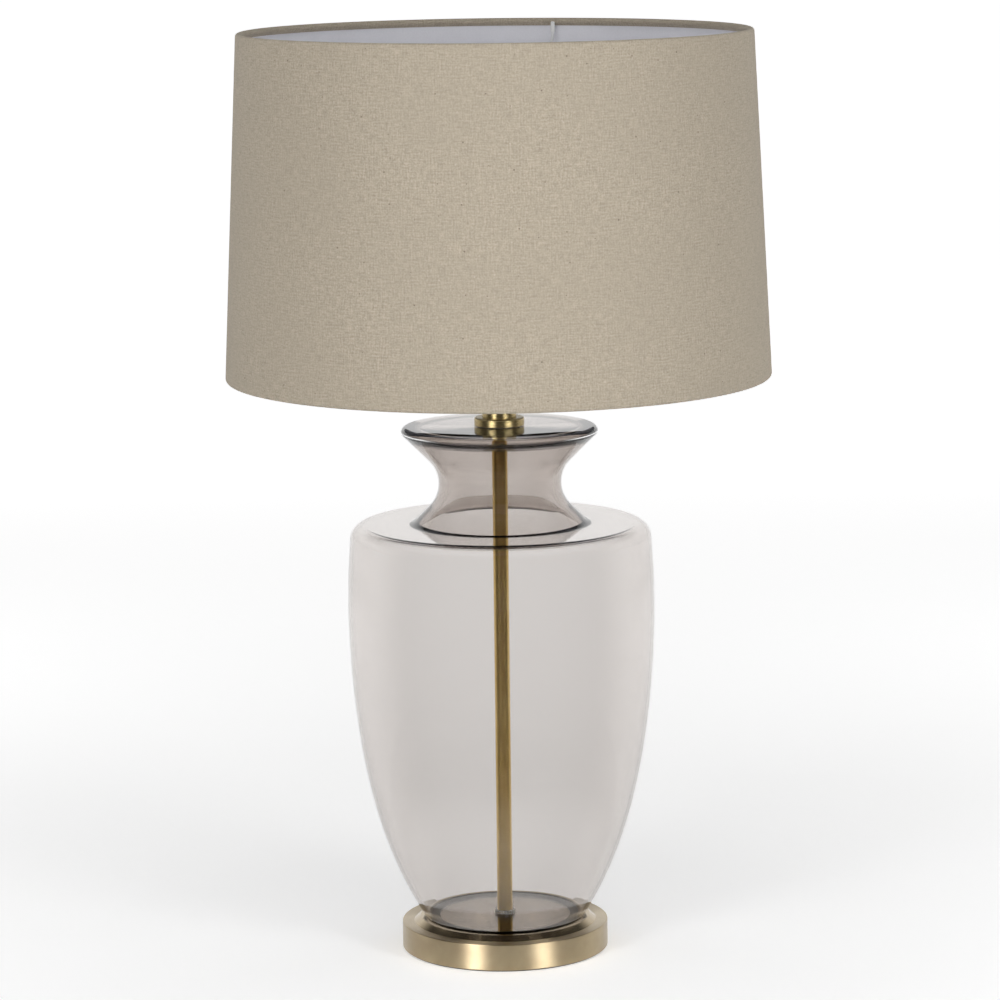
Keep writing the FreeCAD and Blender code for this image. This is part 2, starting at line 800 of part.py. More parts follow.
def hem_edges(side):
    """The cloth's end rolled round the bottom (-1) or top (1) wire, with its tail laid on the liner."""
    radius, level = roll_centre(side)
    tail_level = level + side * (roll_radius - hem_depth)
    liner_face = fabric_thickness + liner_thickness + 2 * running_clearance
    tail_radius = shade_radius(tail_level) - liner_face
    reach = math.hypot(tail_radius - radius, tail_level - level)
    leaning = math.atan2(side * (tail_level - level), tail_radius - radius)
    leave = leaning + 2 * math.pi - math.acos(roll_inner_radius / reach)

    def on_roll(roll, angle):
        return point(radius + roll * math.cos(angle), level + side * roll * math.sin(angle))

    edges = []
    for roll in (roll_radius, roll_inner_radius):
        edges.append(Part.Arc(on_roll(roll, 0), on_roll(roll, leave / 2), on_roll(roll, leave)).toShape())
    square = on_roll(1, leave) - on_roll(0, leave)
    inner_tip = point(tail_radius, tail_level)
    outer_tip = inner_tip + square * fabric_thickness
    edges.append(line(on_roll(roll_radius, leave), outer_tip))
    edges.append(line(outer_tip, inner_tip))
    edges.append(line(inner_tip, on_roll(roll_inner_radius, leave)))
    return edges


def make_shade_fabric():
    """One cloth, rolled round the frame wires at both edges and glued down inside."""
    edges = hem_edges(1) + hem_edges(-1)
    top_radius, top_level = roll_centre(1)
    bottom_radius, bottom_level = roll_centre(-1)
    for roll in (roll_radius, roll_inner_radius):
        edges.append(line(point(bottom_radius + roll, bottom_level), point(top_radius + roll, top_level)))
    return turned(edges)


def all_pieces():
    pieces = {
        "felt_pad": make_felt_pad(),
        "base_shell": make_base_shell(),
        "base_ballast": make_base_ballast(),
        "base_washer": make_base_washer(),
        "base_nut": make_base_nut(),
        "cable_grommet": make_cable_grommet(),
        "threaded_rod": make_threaded_rod(),
        "stem_tube": make_stem_tube(),
        "lower_gasket": make_lower_gasket(),
        "floor_bush": make_bush(glass_seat, glass_floor),
        "glass_body": make_glass_body(),
        "top_bush": make_bush(disc_centre_underside, lip_top),
        "upper_gasket": make_upper_gasket(),
        "collar_base": make_collar_base(),
        "collar_cap": make_collar_cap(),
        "stem_nut": make_stem_nut(),
        "riser_tube": make_riser_tube(),
        "neck_washer": make_neck_washer(),
        "lampholder_cap": make_lampholder_cap(),
        "entry_grub_screw": make_entry_grub_screw(),
        "lampholder_insulator": make_lampholder_insulator(),
        "terminal_posts": make_terminal_posts(),
        "terminal_screws": make_terminal_screws(),
        "lampholder_skirt": make_lampholder_skirt(),
        "plunger_front": make_plunger(-1),
        "plunger_rear": make_plunger(1),
        "plunger_spring_front": make_plunger_spring(-1),
        "plunger_spring_rear": make_plunger_spring(1),
        "push_bar": make_push_bar(),
        "shade_lower_ring": make_shade_ring(ring_bottom),
        "shade_lock_ring": make_shade_ring(lock_ring_bottom),
        "gimbal_ring": make_gimbal_ring(),
        "arm_sleeves": make_arm_sleeves(),
        "top_wire_ring": make_wire_ring(1),
        "bottom_wire_ring": make_wire_ring(-1),
        "shade_liner": make_shade_liner(),
        "shade_fabric": make_shade_fabric(),
    }
    for k, direction_deg in enumerate(arm_directions()):
        pieces[f"gimbal_arm_{k + 1}"] = make_gimbal_arm(direction_deg)
    return pieces


os.makedirs("parts", exist_ok=True)
for name, shape in all_pieces().items():
    shape.exportStep(f"parts/{name}.step")
    box = shape.BoundBox
    print(f"{name:24s} solids {len(shape.Solids)} valid {shape.isValid()} volume {shape.Volume:.1f} "
          f"z {box.ZMin:.2f} to {box.ZMax:.2f} x {box.XMin:.2f} to {box.XMax:.2f}")
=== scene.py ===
import json
import math

import bmesh
import bpy
from mathutils import Matrix, Vector


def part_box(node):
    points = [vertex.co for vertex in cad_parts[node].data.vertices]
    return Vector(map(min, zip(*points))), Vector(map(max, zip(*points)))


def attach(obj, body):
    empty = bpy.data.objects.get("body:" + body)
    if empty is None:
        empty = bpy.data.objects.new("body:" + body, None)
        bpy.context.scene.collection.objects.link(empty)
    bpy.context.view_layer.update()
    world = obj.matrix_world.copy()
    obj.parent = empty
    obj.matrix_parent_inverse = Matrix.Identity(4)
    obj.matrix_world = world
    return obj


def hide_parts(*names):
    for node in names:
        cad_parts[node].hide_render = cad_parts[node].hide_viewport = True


# A glass vase table lamp with a tapered drum shade, dressed for a studio picture.
# Metres, +Z up, with the frame's origin on the floor under the lamp's axis and its rear at +Y.

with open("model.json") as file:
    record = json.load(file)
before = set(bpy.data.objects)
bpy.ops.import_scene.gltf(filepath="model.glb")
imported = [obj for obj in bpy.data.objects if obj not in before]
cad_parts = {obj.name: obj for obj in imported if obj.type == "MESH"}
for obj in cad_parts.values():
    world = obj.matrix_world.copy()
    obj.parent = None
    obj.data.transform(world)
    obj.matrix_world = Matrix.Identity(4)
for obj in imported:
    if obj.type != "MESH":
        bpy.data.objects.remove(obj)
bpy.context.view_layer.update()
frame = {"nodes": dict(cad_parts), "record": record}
nodes = frame["nodes"]

MM = 0.001

# The camera, as it stood for the photograph
camera_distance = 3.0427
camera_height = 0.8463
camera_aside = -0.00015
camera_pitch_deg = 9.339
camera_roll_deg = -0.68
camera_lens_mm = 147.05
camera_sensor_mm = 36.0
camera_clip = 100.0

# Glass vase, outside
glass_foot_radius = 59.5 * MM
glass_foot_chamfer = 1.2 * MM
belly_height = 245.0 * MM
body_fullness = 0.715
shoulder_height = 306.0 * MM
shoulder_edge_radius = 113.9 * MM
shoulder_corner_radius = 11.5 * MM
throat_rise = 30.5 * MM
throat_radius = 46.3 * MM
throat_curve_radius = 25.0 * MM
neck_root_fillet = 7.0 * MM
neck_flare_deg = 45.0
lip_radius = 74.2 * MM
lip_height = 5.2 * MM
lip_foot_rounding = 3.6 * MM
lip_edge_rounding = 4.0 * MM
crown_corner_radius = 60.0 * MM
crown_rounding = 760.0 * MM
crown_drop = 0.3 * MM

# Glass vase, inside
glass_wall = 2.8 * MM
neck_wall = 6.0 * MM
glass_floor_thickness = 3.2 * MM
glass_floor_fillet = 3.0 * MM
top_disc_thickness = 4.0 * MM
top_disc_sag = 1.2 * MM
glass_hole_radius = 8.0 * MM
inner_root_flare_deg = 40.0
inner_root_fillet = 1.0 * MM
under_disc_fillet = 2.5 * MM

# Shade
shade_taper = 12.8 * MM
fabric_thickness = 0.6 * MM
liner_thickness = 0.5 * MM
frame_wire_radius = 1.3 * MM
hem_slack = 0.4 * MM
hem_depth = 5.6 * MM
clearance = 0.1 * MM
seam_width = 11.0 * MM
seam_lift = 0.45 * MM
seam_step_width = 0.2 * MM
seam_fade_width = 1.2 * MM
hem_steps = 22
face_steps = 24
fabric_segments = 720

# Glass and cloth colours
glass_tint = (0.58, 0.51, 0.46)
glass_density = 122.0
linen_light = (0.545, 0.475, 0.375)
linen_dark = (0.345, 0.295, 0.225)
linen_patch = (0.42, 0.365, 0.285)
linen_fleck = (0.12, 0.085, 0.06)
linen_nub = (0.62, 0.56, 0.46)
# Painted shadow: a near-black colour painted on the inside of the bottom hem, up to the height that follows,
# where shade falls
painted_hem_shadow = (0.035, 0.03, 0.025)
painted_shadow_top = 447.0 * MM
linen_grain = 1.4
linen_spread = 0.45
linen_relief = 0.12 * MM

# Weave of the cloth: features per metre round the shade and up it
upright_threads = (900, 120, 1)
level_threads = (110, 850, 1)
thread_fuzz = (700, 700, 1)
linen_patches = (14, 14, 1)
patch_strength = 0.3

# Spots in the cloth: cells per metre, the share of them that hold a spot, and its radius
flecks = (52, 0.33, 0.5 * MM)
fleck_strength = 0.7
nubs = (75, 0.12, 0.6 * MM)
nub_strength = 0.5
spot_sizes = (0.6, 1.3)
spot_edge = (0.6, 1.3)

# Brass: bright and dull colours, roughness, stretch of the highlights, relief of the brushing and, where a
# piece is polished higher up, the height at which that starts
foot_brass = ((0.46, 0.375, 0.24), (0.38, 0.30, 0.19), 0.34, 0.9, 0.004 * MM, 21.1 * MM)
brush_turn = 0.25
polish_share = 0.3
collar_brass = ((0.50, 0.40, 0.20), (0.38, 0.29, 0.13), 0.25, 0.6, 0.002 * MM)
tube_brass = ((0.78, 0.58, 0.24), (0.66, 0.46, 0.16), 0.33, 1.0, 0.0005 * MM)
turned_brass = ((0.72, 0.58, 0.30), (0.60, 0.46, 0.22), 0.22, 0.6, 0.002 * MM)
brush_lines = (5, 5, 2200)
brush_rise = 1.6
brush_dulling = 0.25
brush_spread = 0.15
brass_clouds = (45, 45, 45)

# The clear ring under the glass, with its values in the same order as the finishes below
clear_ring = ((0.62, 0.60, 0.56), (0.52, 0.50, 0.46), (0.3, 0.4), 500, 0.02 * MM)

# Other finishes by slot: light and dark colours, roughness range, grain per metre, relief, shader settings
metal = {"Metallic": 1.0}
plain_finishes = {
    "cast_iron": ((0.17, 0.17, 0.18), (0.09, 0.09, 0.095), (0.55, 0.8), 900, 0.15 * MM, {"Metallic": 0.8}),
    "felt": ((0.07, 0.07, 0.068), (0.025, 0.025, 0.025), (0.9, 1.0), 1600, 0.4 * MM, {"Sheen Weight": 0.3}),
    "zinc_steel": ((0.62, 0.62, 0.60), (0.48, 0.48, 0.44), (0.28, 0.42), 700, 0.01 * MM, metal),
    "spring_steel": ((0.56, 0.56, 0.57), (0.42, 0.42, 0.43), (0.22, 0.36), 900, 0.005 * MM, metal),
    "black_rubber": ((0.035, 0.035, 0.035), (0.018, 0.018, 0.018), (0.6, 0.8), 1500, 0.03 * MM),
    "clear_nylon": ((0.90, 0.88, 0.84), (0.82, 0.80, 0.74), (0.2, 0.35), 500, 0.02 * MM,
                    {"Transmission Weight": 0.8, "IOR": 1.5}),
    "bakelite": ((0.065, 0.05, 0.042), (0.03, 0.022, 0.018), (0.16, 0.3), 400, 0.01 * MM,
                 {"Coat Weight": 0.3}),
    "white_enamel": ((0.86, 0.86, 0.86), (0.76, 0.76, 0.76), (0.3, 0.45), 1300, 0.03 * MM,
                     {"Coat Weight": 0.2}),
    "white_sleeve": ((0.93, 0.93, 0.92), (0.84, 0.84, 0.82), (0.18, 0.3), 500, 0.02 * MM),
    "liner_film": ((0.86, 0.86, 0.91), (0.81, 0.81, 0.86), (0.45, 0.6), 800, 0.02 * MM),
}
finish_clouds = (60, 60, 60)

# Where a coarse or a fine noise field is taken to start and end
coarse_span = (0.35, 0.65)
fine_span = (0.3, 0.7)

# Studio light: what reaches matt surfaces from all round, and the lights' powers
ambient_light = 0.28
softbox_power = 8.0
glint_power = 34.0
fill_power = 3.5
liner_power = 3.5
softbox_distance = 1.6
softbox_aim_height = 0.2

# Each light as it looks from the vase: azimuth, low edge, high edge and width in degrees, then its power on
# matt surfaces and its power in reflections
softboxes = {
    "softbox_left": (-34, 4, 24, 16, softbox_power, glint_power),
    "softbox_right": (43, 8, 22, 17, softbox_power, glint_power),
    "fill_left": (-130, 10, 40, 30, fill_power, 0),
    "fill_right": (130, 10, 40, 30, fill_power, 0),
    "fill_top": (0, 48, 72, 30, liner_power, 0),
}

# What glass and metal show round the lamp: a ceiling and a room that dim with the direction, and the floor's
# own light, which changes with the distance from the lamp
ceiling_start = 0.3
ceiling_end = 0.6
ceiling_light = 0.1
room_start = -0.3
room_end = 0.4
room_light = 0.12
bright_floor_start = 0.16
bright_floor_end = 0.35
floor_white = (0.8, 0.8, 0.8)
floor_half_width = 40.0
floor_glow_start = 0.3
floor_glow_end = 2.5
floor_glow_near = 0.38
floor_glow_far = 0.8

# Fineness of the meshes; hold is how far past an arc a point keeps the straight stretch's shading flat
glass_segments = 256
body_steps = 60
arc_step_deg = 5.0
sharp_edge_deg = 28.0
hold = 0.25 * MM


# Outlines: lists of (radius, height) points that are turned about the lamp's axis


def rounded_path(corners):
    """Points along (radius, height, rounding) corners, each inner corner turned on a tangent arc."""
    places = [Vector((r, z)) for r, z, _ in corners]
    points = [places[0]]
    for i in range(1, len(places) - 1):
        rounding = corners[i][2]
        if rounding <= 0:
            points.append(places[i])
            continue
        back = (places[i - 1] - places[i]).normalized()
        ahead = (places[i + 1] - places[i]).normalized()
        half = back.angle(ahead) / 2
        centre = places[i] + (back + ahead).normalized() * (rounding / math.sin(half))
        start = places[i] + back * (rounding / math.tan(half))
        end = places[i] + ahead * (rounding / math.tan(half))
        points += [start + back * hold] * ((start - points[-1]).length > 2 * hold)
        points += arc(centre, start, end)
        points += [end + ahead * hold] * ((end - places[i + 1]).length > 2 * hold)
    points.append(places[-1])
    return points


def arc(centre, start, end):
    """Points on the shorter arc from start to end."""
    first, last = start - centre, end - centre
    sweep = math.atan2(first.x * last.y - first.y * last.x, first.dot(last))
    steps = max(2, math.ceil(abs(math.degrees(sweep)) / arc_step_deg))
    return [centre + Matrix.Rotation(sweep * k / steps, 2) @ first for k in range(steps + 1)]


def turned(name, outline, segments, start_deg=0.0):
    """A closed mesh turned about the axis from a closed outline, with UVs in metres along and around it."""
    mesh = bmesh.new()
    clean = [p for i, p in enumerate(outline) if (p - outline[i - 1]).length > 1e-6]
    rings = []
    for k in range(segments):
        a = 2 * math.pi * k / segments + math.radians(start_deg)
        rings.append([mesh.verts.new((p.x * math.sin(a), -p.x * math.cos(a), p.y)) for p in clean])
    uv = mesh.loops.layers.uv.new("length")
    along = [0.0]
    for i in range(len(clean)):
        along.append(along[-1] + (clean[(i + 1) % len(clean)] - clean[i]).length)
    widest = max(p.x for p in clean)
    for k in range(segments):
        here, there = rings[k], rings[(k + 1) % segments]
        for i in range(len(clean)):
            j = (i + 1) % len(clean)
            face = mesh.faces.new((here[i], there[i], there[j], here[j]))
            face.smooth = True
            around = [2 * math.pi * widest * t / segments for t in (k, k + 1, k + 1, k)]
            for loop, u, v in zip(face.loops, around, (along[i], along[i], along[i + 1], along[i + 1])):
                loop[uv].uv = (u, v)
    mesh.normal_update()
    if mesh.calc_volume(signed=True) < 0:
        bmesh.ops.reverse_faces(mesh, faces=mesh.faces)
    mark_sharp(mesh)
    return finish_mesh(name, mesh)


def mark_sharp(mesh):
    limit = math.radians(sharp_edge_deg)
    for edge in mesh.edges:
        if len(edge.link_faces) == 2 and edge.calc_face_angle(0) > limit:
            edge.smooth = False


def finish_mesh(name, mesh):
    data = bpy.data.meshes.new(name)
    mesh.to_mesh(data)
    mesh.free()
    piece = bpy.data.objects.new(name, data)
    bpy.context.scene.collection.objects.link(piece)
    return piece


# Glass vase


def glass_outline():
    low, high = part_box("glass_body")
    seat, belly_radius = low.z, high.x
    belly_level = seat + belly_height
    shoulder_level = seat + shoulder_height
    throat_level = shoulder_level + throat_rise
    flare = math.tan(math.radians(neck_flare_deg))
    throat_vertex = throat_radius - throat_curve_radius * (1 / math.cos(math.radians(neck_flare_deg)) - 1)
    lip_foot = throat_level + (lip_radius - throat_vertex) / flare
    lip_top = lip_foot + lip_height
    underside = lip_top - top_disc_thickness
    floor = seat + glass_floor_thickness

    def wall(level, inset):
        share = (belly_level - level) / belly_height
        reach = belly_radius - glass_foot_radius
        drop = reach * (body_fullness * share**2 + (1 - body_fullness) * share**5)
        slope = reach * (body_fullness * 2 * share + (1 - body_fullness) * 5 * share**4) / belly_height
        length = math.hypot(1, slope)
        return Vector((belly_radius - drop - inset / length, level + inset * slope / length)), slope

    def body(bottom, inset):
        levels = [bottom + (belly_level - bottom) * k / body_steps for k in range(body_steps + 1)]
        return [wall(level, inset)[0] for level in levels]

    def shoulder(inset):
        small = shoulder_corner_radius
        corner = Vector((shoulder_edge_radius - small, shoulder_level - small))
        across, rise = belly_radius - corner.x, corner.y - belly_level
        radius = (across**2 + rise**2 - small**2) / (2 * (across - small))
        centre = Vector((belly_radius - radius, belly_level))
        toward = (corner - centre).normalized()
        upper = arc(centre, centre + Vector((radius - inset, 0)), centre + toward * (radius - inset))
        return upper + arc(corner, corner + toward * (small - inset), corner + Vector((0, small - inset)))

    outline = [Vector((glass_hole_radius, seat)), Vector((glass_foot_radius - glass_foot_chamfer, seat))]
    outline += body(seat + glass_foot_chamfer, 0) + shoulder(0)
    end = outline[-1]
    outline += rounded_path([
        (end.x, end.y, 0),
        (throat_vertex + throat_rise * flare, shoulder_level, neck_root_fillet),
        (throat_vertex, throat_level, throat_curve_radius),
        (lip_radius, lip_foot, lip_foot_rounding),
        (lip_radius, lip_top - crown_drop, lip_edge_rounding),
        (crown_corner_radius, lip_top, crown_rounding),
        (glass_hole_radius, lip_top, 0),
    ])
    centre = Vector((throat_radius + throat_curve_radius, throat_level))
    inner_radius = throat_curve_radius + neck_wall

    def on_throat(degrees):
        a = math.radians(degrees)
        return centre + Vector((-math.cos(a), math.sin(a))) * inner_radius

    top, root = on_throat(neck_flare_deg), on_throat(-inner_root_flare_deg)
    root_flare = math.tan(math.radians(inner_root_flare_deg))
    inner_shoulder = shoulder(glass_wall)
    inner_level = shoulder_level - glass_wall
    outline += rounded_path([
        (glass_hole_radius, underside - top_disc_sag, 0),
        (top.x + (underside - top.y) * flare, underside, under_disc_fillet),
        (top.x, top.y, 0),
    ])
    outline += arc(centre, top, root)
    outline += rounded_path([
        (root.x, root.y, 0),
        (root.x + (root.y - inner_level) * root_flare, inner_level, inner_root_fillet),
        (inner_shoulder[-1].x, inner_level, 0),
    ])
    outline += inner_shoulder[::-1]
    inner_bottom = floor + glass_floor_fillet
    outline += body(inner_bottom, glass_wall)[::-1]
    last, slope = wall(inner_bottom, glass_wall)
    outline += rounded_path([
        (last.x, last.y, 0),
        (last.x - slope * (last.y - floor), floor, glass_floor_fillet),
        (glass_hole_radius, floor, 0),
    ])
    return outline


def make_glass(material):
    vase = turned("glass_vase", glass_outline(), glass_segments)
    vase.data.materials.append(material)
    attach(vase, "stand")
    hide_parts("glass_body")


# Shade


def fabric_outline():
    """The cloth's section: both hems rolled round the frame wires, with their tails laid on the liner."""
    low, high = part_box("shade_fabric")
    inner_roll = frame_wire_radius + hem_slack
    outer_roll = inner_roll + fabric_thickness
    bottom_radius = high.x
    slant_height = high.z - low.z

    def face(level):
        return bottom_radius - shade_taper * (level - low.z) / slant_height

    def hem(side):
        level = high.z - outer_roll if side > 0 else low.z + outer_roll
        centre = Vector((face(level) - outer_roll, level))
        tail_level = level + side * (outer_roll - hem_depth)
        tip = Vector((face(tail_level) - fabric_thickness - liner_thickness - 2 * clearance, tail_level))
        away = tip - centre
        leave = math.atan2(side * away.y, away.x) + 2 * math.pi - math.acos(inner_roll / away.length)

        def on_roll(roll, turn):
            return centre + Vector((roll * math.cos(turn), side * roll * math.sin(turn)))

        square = on_roll(1, leave) - on_roll(0, leave)
        outer = [on_roll(outer_roll, leave * k / hem_steps) for k in range(hem_steps + 1)]
        inner = [on_roll(inner_roll, leave * k / hem_steps) for k in range(hem_steps + 1)]
        return outer + [tip + square * fabric_thickness, tip] + inner[::-1]

    top, bottom = hem(1), hem(-1)
    face_out = [bottom[0].lerp(top[0], k / face_steps) for k in range(1, face_steps)]
    face_in = [top[-1].lerp(bottom[-1], k / face_steps) for k in range(1, face_steps)]
    return bottom[::-1] + face_out + top + face_in


def seam_rise(around):
    """How far the cloth stands proud at a length round the shade from where its two ends start to overlap."""
    if around < 0 or around > seam_width:
        return 0.0
    return seam_lift * min(1.0, around / seam_step_width, (seam_width - around) / seam_fade_width)


def make_fabric(material):
    outline = fabric_outline()
    cloth = turned("shade_cover", outline, fabric_segments, start_deg=180.0)
    low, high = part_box("shade_fabric")
    reach = high.x - frame_wire_radius - hem_slack - fabric_thickness / 2
    for vertex in cloth.data.vertices:
        x, y, z = vertex.co
        radius = math.hypot(x, y)
        face = high.x - shade_taper * (z - low.z) / (high.z - low.z)
        share = min(1.0, max(0.0, (radius - face + fabric_thickness) / fabric_thickness))
        if share > 0.5:
            lift = seam_rise(math.atan2(-x, y) * reach + seam_width / 2)
            vertex.co.x *= 1 + lift / radius
            vertex.co.y *= 1 + lift / radius
    cloth.data.materials.append(material)
    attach(cloth, "shade")
    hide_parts("shade_fabric")


# Materials


def new_material(name, sockets):
    """A material, with plain values on its shader's own sockets."""
    material = bpy.data.materials.new(name)
    material.use_nodes = True
    shader = material.node_tree.nodes["Principled BSDF"]
    for socket, value in sockets.items():
        set_socket(shader.inputs[socket], value)
    return material, material.node_tree, shader


def set_socket(socket, value):
    socket.default_value = (*value, 1.0) if socket.type == "RGBA" else value


def add(tree, kind, settings=(), inputs=()):
    """A node whose inputs are each given as a value or as another node's output."""
    made = tree.nodes.new("ShaderNode" + kind)
    for name, value in dict(settings).items():
        setattr(made, name, value)
    for key, value in dict(inputs).items():
        if isinstance(value, bpy.types.NodeSocket):
            tree.links.new(value, made.inputs[key])
        else:
            set_socket(made.inputs[key], value)
    return made


def calc(tree, operation, *values):
    return add(tree, "Math", {"operation": operation}, enumerate(values)).outputs["Value"]


def ranged(tree, value, low, high, start=0.0, end=1.0, smooth=False):
    """The value's place between low and high, moved to between start and end."""
    return add(tree, "MapRange", {"interpolation_type": "SMOOTHSTEP" if smooth else "LINEAR"}, {
        "Value": value, "From Min": low, "From Max": high, "To Min": start, "To Max": end,
    }).outputs["Result"]


def mixed(tree, share, first, second):
    return add(tree, "Mix", {"data_type": "RGBA"}, {0: share, 6: first, 7: second}).outputs[2]


def noise(tree, place, scale, detail=2.0):
    """A noise field from about 0.25 to 0.75, with scale in features per unit of place along each axis."""
    spread = add(tree, "Mapping", inputs={"Vector": place, "Scale": scale}).outputs["Vector"]
    return add(tree, "TexNoise", inputs={"Vector": spread, "Scale": 1.0, "Detail": detail}).outputs["Fac"]


def spots(tree, place, per_metre, share, radius):
    """1 inside small round spots and 0 outside, on a share of the cells of a loose grid."""
    spread = add(tree, "Mapping", inputs={"Vector": place, "Scale": (per_metre, per_metre, 1)})
    cells = add(tree, "TexVoronoi", {"voronoi_dimensions": "2D"}, {
        "Vector": spread.outputs["Vector"], "Scale": 1.0,
    })
    pick = add(tree, "SeparateColor", inputs={"Color": cells.outputs["Color"]})
    chosen = calc(tree, "LESS_THAN", pick.outputs["Red"], share)
    sizes = [radius * per_metre * scale for scale in spot_sizes]
    size = ranged(tree, pick.outputs["Green"], 0.0, 1.0, *sizes)
    near = calc(tree, "DIVIDE", cells.outputs["Distance"], size)
    return calc(tree, "MULTIPLY", ranged(tree, near, *spot_edge, 1.0, 0.0), chosen)


def bump(tree, shader, height, distance):
    relief = add(tree, "Bump", inputs={"Height": height, "Distance": distance})
    tree.links.new(relief.outputs["Normal"], shader.inputs["Normal"])


def glass_material():
    material, tree, _ = new_material("smoke_glass", {
        "Base Color": (1.0, 1.0, 1.0), "Roughness": 0.0, "IOR": 1.5, "Transmission Weight": 1.0,
    })
    tint = add(tree, "VolumeAbsorption", inputs={"Color": glass_tint, "Density": glass_density})
    tree.links.new(tint.outputs["Volume"], tree.nodes["Material Output"].inputs["Volume"])
    return material


def linen_material():
    """Plain-woven linen: uneven threads both ways, with dark flecks and a few pale slubs, and a painted
    shadow, near black, on the inside of the bottom hem.
    """
    material, tree, shader = new_material("shade_linen", {
        "Roughness": 0.9, "Specular IOR Level": 0.2, "Sheen Weight": 0.1, "Sheen Roughness": 0.5,
    })
    cloth = add(tree, "UVMap", {"uv_map": "length"}).outputs["UV"]
    threads = calc(tree, "ADD", noise(tree, cloth, upright_threads), noise(tree, cloth, level_threads))
    texture = calc(tree, "MULTIPLY_ADD", noise(tree, cloth, thread_fuzz, 3.0), linen_grain, threads)
    middle = 1 + linen_grain / 2
    paleness = ranged(tree, texture, middle - linen_spread, middle + linen_spread)
    patchiness = ranged(tree, noise(tree, cloth, linen_patches), *coarse_span, 0.0, patch_strength)
    flecked = calc(tree, "MULTIPLY", spots(tree, cloth, *flecks), fleck_strength)
    nubbed = calc(tree, "MULTIPLY", spots(tree, cloth, *nubs), nub_strength)
    color = mixed(tree, paleness, linen_dark, linen_light)
    color = mixed(tree, patchiness, color, linen_patch)
    color = mixed(tree, flecked, color, linen_fleck)
    color = mixed(tree, nubbed, color, linen_nub)
    # Painted shadow: the cloth's inside face below that height is painted near black, as shade inside the
    # bottom hem
    level = add(tree, "SeparateXYZ", inputs={"Vector": add(tree, "TexCoord").outputs["Object"]}).outputs["Z"]
    shadow = calc(tree, "LESS_THAN", level, painted_shadow_top)
    color = mixed(tree, calc(tree, "MULTIPLY", shadow, inside_cloth(tree)), color, painted_hem_shadow)
    tree.links.new(color, shader.inputs["Base Color"])
    bump(tree, shader, texture, linen_relief)
    return material


def inside_cloth(tree):
    """1 where the cloth faces the lamp's axis and 0 where it faces away."""
    place = add(tree, "TexCoord").outputs["Object"]
    flat = add(tree, "VectorMath", {"operation": "MULTIPLY"}, {0: place, 1: (1.0, 1.0, 0.0)})
    turn = add(tree, "VectorMath", {"operation": "DOT_PRODUCT"}, {
        0: flat.outputs["Vector"], 1: add(tree, "NewGeometry").outputs["True Normal"],
    })
    return calc(tree, "LESS_THAN", turn.outputs["Value"], 0.0)


def brass_material(name, bright, dull, roughness, stretch, relief, polish_level=0.0):
    """Brass brushed round the lamp's axis, a little dull in patches."""
    material, tree, shader = new_material(name, {
        "Metallic": 1.0, "Anisotropic": stretch, "Anisotropic Rotation": brush_turn,
    })
    place = add(tree, "TexCoord").outputs["Object"]
    axes = add(tree, "SeparateXYZ", inputs={"Vector": place})
    x, y, z = (axes.outputs[k] for k in range(3))
    radius = calc(tree, "SQRT", calc(tree, "ADD", calc(tree, "MULTIPLY", x, x), calc(tree, "MULTIPLY", y, y)))
    across = calc(tree, "MULTIPLY_ADD", z, brush_rise, radius)
    around = add(tree, "CombineXYZ", inputs={
        "X": calc(tree, "DIVIDE", x, radius), "Y": calc(tree, "DIVIDE", y, radius), "Z": across,
    }).outputs["Vector"]
    brushing = noise(tree, around, brush_lines, 3.0)
    cloud = noise(tree, place, brass_clouds, 4.0)
    color = mixed(tree, ranged(tree, cloud, *coarse_span), dull, bright)
    color = mixed(tree, ranged(tree, brushing, *fine_span, brush_dulling, 0.0), color, dull)
    tree.links.new(color, shader.inputs["Base Color"])
    smoothest, roughest = roughness * (1 - brush_spread), roughness * (1 + brush_spread)
    rough = ranged(tree, brushing, *fine_span, smoothest, roughest)
    if polish_level:
        polished = calc(tree, "GREATER_THAN", z, polish_level)
        rough = calc(tree, "MULTIPLY", rough, ranged(tree, polished, 0.0, 1.0, 1.0, polish_share))
    tree.links.new(rough, shader.inputs["Roughness"])
    tangent = add(tree, "Tangent", {"direction_type": "RADIAL", "axis": "Z"})
    tree.links.new(tangent.outputs["Tangent"], shader.inputs["Tangent"])
    bump(tree, shader, brushing, relief)
    return material


def grained_material(name, light, dark, rough, grain, relief, sockets=()):
    """A surface that varies a little in colour and roughness, with a relief of grain features per metre."""
    material, tree, shader = new_material(name, dict(sockets))
    place = add(tree, "TexCoord").outputs["Object"]
    fine = noise(tree, place, (grain, grain, grain), 3.0)
    cloud = noise(tree, place, finish_clouds, 3.0)
    share = calc(tree, "MULTIPLY_ADD", fine, 0.5, calc(tree, "MULTIPLY", cloud, 0.5))
    tree.links.new(mixed(tree, ranged(tree, share, *coarse_span), dark, light), shader.inputs["Base Color"])
    tree.links.new(ranged(tree, share, *coarse_span, *rough), shader.inputs["Roughness"])
    bump(tree, shader, fine, relief)
    return material


def dress_nodes():
    """Gives every CAD node the finish of its slot, or one of its own where it looks different."""
    polished = brass_material("polished_brass", *tube_brass)
    collar = brass_material("collar_brass", *collar_brass)
    special = {"stem_tube": polished, "lower_gasket": grained_material("clear_ring", *clear_ring)}
    special.update(dict.fromkeys(("riser_tube", "collar_cap", "collar_base", "neck_washer"), collar))
    finishes = {slot: grained_material(slot, *look) for slot, look in plain_finishes.items()}
    finishes["antique_brass"] = brass_material("antique_brass", *foot_brass)
    finishes["plain_brass"] = brass_material("plain_brass", *turned_brass)
    finishes["smoke_glass"] = glass_material()
    finishes["shade_linen"] = linen_material()
    for part in frame["record"]["subparts"]:
        data = nodes[part["node"]].data
        data.materials.clear()
        data.materials.append(special.get(part["node"], finishes[part["material_slot"]]))
    return finishes


# Studio


